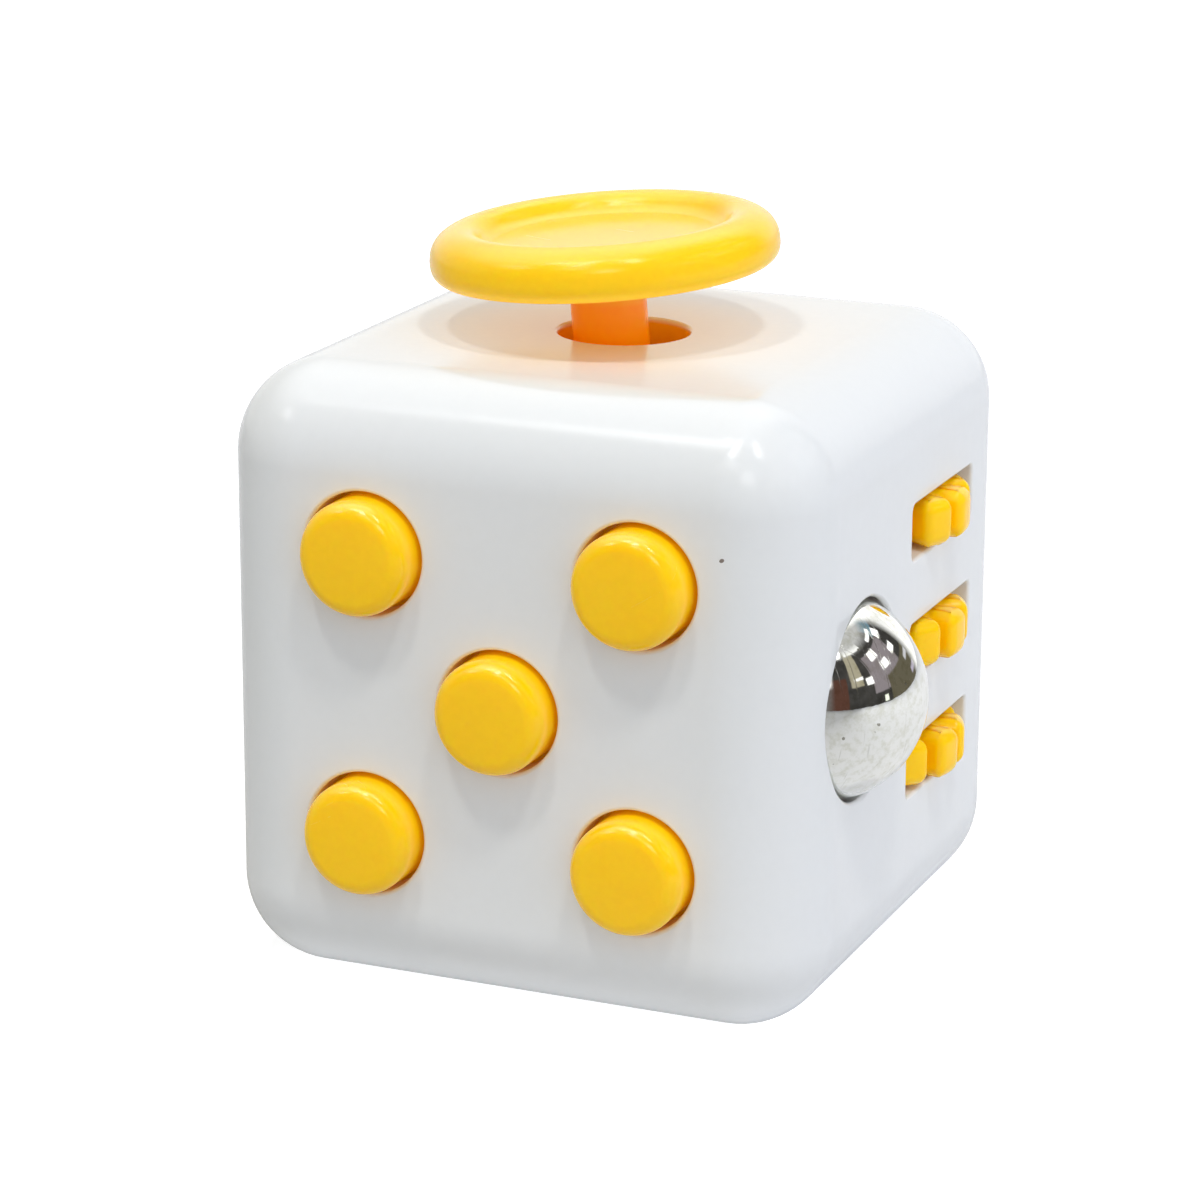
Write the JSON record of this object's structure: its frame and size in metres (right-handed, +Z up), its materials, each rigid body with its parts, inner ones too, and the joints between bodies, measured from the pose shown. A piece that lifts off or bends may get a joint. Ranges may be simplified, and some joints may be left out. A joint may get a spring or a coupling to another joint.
{
  "type": "fidget cube",
  "caption": "Hollow rounded desk cube with a finger toy on each face: push buttons, tilting stick, roller ball with gears, dial, rocker and thumb dish.",
  "frame": {"origin": "on the resting plane, under the middle of the cube", "axes": "+Z up through the glide stick; -Y out of the face with the push buttons; +X out of the face with the roller ball and gears"},
  "size_m": [0.0388, 0.0362, 0.0397],
  "materials": {
    "shell_white": "smooth gloss",
    "toy_yellow": "smooth gloss",
    "ball_chrome": "mirror polished",
    "spring_steel": "bright zinc or plain spring steel",
    "frame_grey": "matt moulded",
    "dome_rubber": "matt silicone"
  },
  "bodies": {
    "case": {"shell_front": "shell_white", "shell_rear": "shell_white", "button_plate": "frame_grey", "side_frame": "frame_grey", "stick_frame": "frame_grey", "rocker_cradle": "frame_grey", "gear_axle": "spring_steel", "gear_axle_clip": "spring_steel", "gear_spacer_lower": "frame_grey", "gear_spacer_upper": "frame_grey", "ball_wave_spring": "spring_steel", "stick_return_spring": "spring_steel", "rocker_pin": "spring_steel", "rocker_leaf_spring": "spring_steel", "plate_screw_top": "spring_steel", "plate_screw_bottom": "spring_steel", "plate_screw_left": "spring_steel", "frame_screw_top": "spring_steel", "frame_screw_bottom": "spring_steel", "stick_screw_1": "spring_steel", "stick_screw_2": "spring_steel", "stick_screw_3": "spring_steel", "stick_screw_4": "spring_steel", "cradle_screw_top": "spring_steel", "cradle_screw_bottom": "spring_steel", "snap_dome_1": "spring_steel", "soft_dome_2": "dome_rubber", "snap_dome_3": "spring_steel", "snap_dome_4": "spring_steel", "soft_dome_5": "dome_rubber"},
    "button_1": {"button_cap_1": "toy_yellow"},
    "button_2": {"button_cap_2": "toy_yellow"},
    "button_3": {"button_cap_3": "toy_yellow"},
    "button_4": {"button_cap_4": "toy_yellow"},
    "button_5": {"button_cap_5": "toy_yellow"},
    "ball_carrier": {"ball_cup": "frame_grey", "ball_cup_clip": "spring_steel"},
    "ball": {"roller_ball": "ball_chrome"},
    "gear_top_wheel": {"gear_top": "toy_yellow"},
    "gear_middle_wheel": {"gear_middle": "toy_yellow"},
    "gear_bottom_wheel": {"gear_bottom": "toy_yellow"},
    "gimbal": {"gimbal_ring": "frame_grey", "gimbal_pin_front": "spring_steel", "gimbal_pin_rear": "spring_steel"},
    "stick": {"glide_stick": "toy_yellow", "stick_cross_pin": "spring_steel"},
    "rocker_body": {"rocker": "toy_yellow"},
    "dial": {"dial_knob": "toy_yellow", "dial_washer": "frame_grey", "dial_clip": "spring_steel"}
  },
  "joints": [
    {"name": "button_1_press", "type": "slide", "parent": "case", "child": "button_1", "axis": [0, 1, 0], "range_m": [0, 0.0009], "stiffness_N_per_m": 600, "deforming": ["snap_dome_1"]},
    {"name": "button_2_press", "type": "slide", "parent": "case", "child": "button_2", "axis": [0, 1, 0], "range_m": [0, 0.0009], "stiffness_N_per_m": 300, "deforming": ["soft_dome_2"]},
    {"name": "button_3_press", "type": "slide", "parent": "case", "child": "button_3", "axis": [0, 1, 0], "range_m": [0, 0.0009], "stiffness_N_per_m": 600, "deforming": ["snap_dome_3"]},
    {"name": "button_4_press", "type": "slide", "parent": "case", "child": "button_4", "axis": [0, 1, 0], "range_m": [0, 0.0009], "stiffness_N_per_m": 600, "deforming": ["snap_dome_4"]},
    {"name": "button_5_press", "type": "slide", "parent": "case", "child": "button_5", "axis": [0, 1, 0], "range_m": [0, 0.0009], "stiffness_N_per_m": 300, "deforming": ["soft_dome_5"]},
    {"name": "ball_press", "type": "slide", "parent": "case", "child": "ball_carrier", "axis": [-1, 0, 0], "range_m": [0, 0.0006], "stiffness_N_per_m": 1500, "deforming": ["ball_wave_spring"]},
    {"name": "ball_roll", "type": "hinge", "parent": "ball_carrier", "child": "ball", "pos_m": [0.0142, -0.0075, 0.0167], "axis": [0, 0, 1], "continuous": true},
    {"name": "gear_top_spin", "type": "hinge", "parent": "case", "child": "gear_top_wheel", "pos_m": [0.0122, 0.00468, 0.02366], "axis": [0, 0, 1], "continuous": true},
    {"name": "gear_middle_spin", "type": "hinge", "parent": "case", "child": "gear_middle_wheel", "pos_m": [0.0122, 0.00468, 0.0171], "axis": [0, 0, 1], "continuous": true},
    {"name": "gear_bottom_spin", "type": "hinge", "parent": "case", "child": "gear_bottom_wheel", "pos_m": [0.0122, 0.00468, 0.01054], "axis": [0, 0, 1], "continuous": true},
    {"name": "stick_left_right", "type": "hinge", "parent": "case", "child": "gimbal", "pos_m": [0, 0, 0.0237], "axis": [0, 1, 0], "range_deg": [-1.6, 9.8], "stiffness_Nm_per_rad": 0.01, "deforming": ["stick_return_spring"]},
    {"name": "stick_front_back", "type": "hinge", "parent": "gimbal", "child": "stick", "pos_m": [0, 0, 0.0237], "axis": [0.9974, 0, 0.0715], "range_deg": [-7.2, 4.2], "stiffness_Nm_per_rad": 0.01, "deforming": ["stick_return_spring"]},
    {"name": "rocker_flip", "type": "hinge", "parent": "case", "child": "rocker_body", "pos_m": [0, 0.0136, 0.0165], "axis": [1, 0, 0], "range_deg": [0, 14], "deforming": ["rocker_leaf_spring"]},
    {"name": "dial_spin", "type": "hinge", "parent": "case", "child": "dial", "pos_m": [-0.0165, 0, 0.0165], "axis": [-1, 0, 0], "continuous": true}
  ]
}
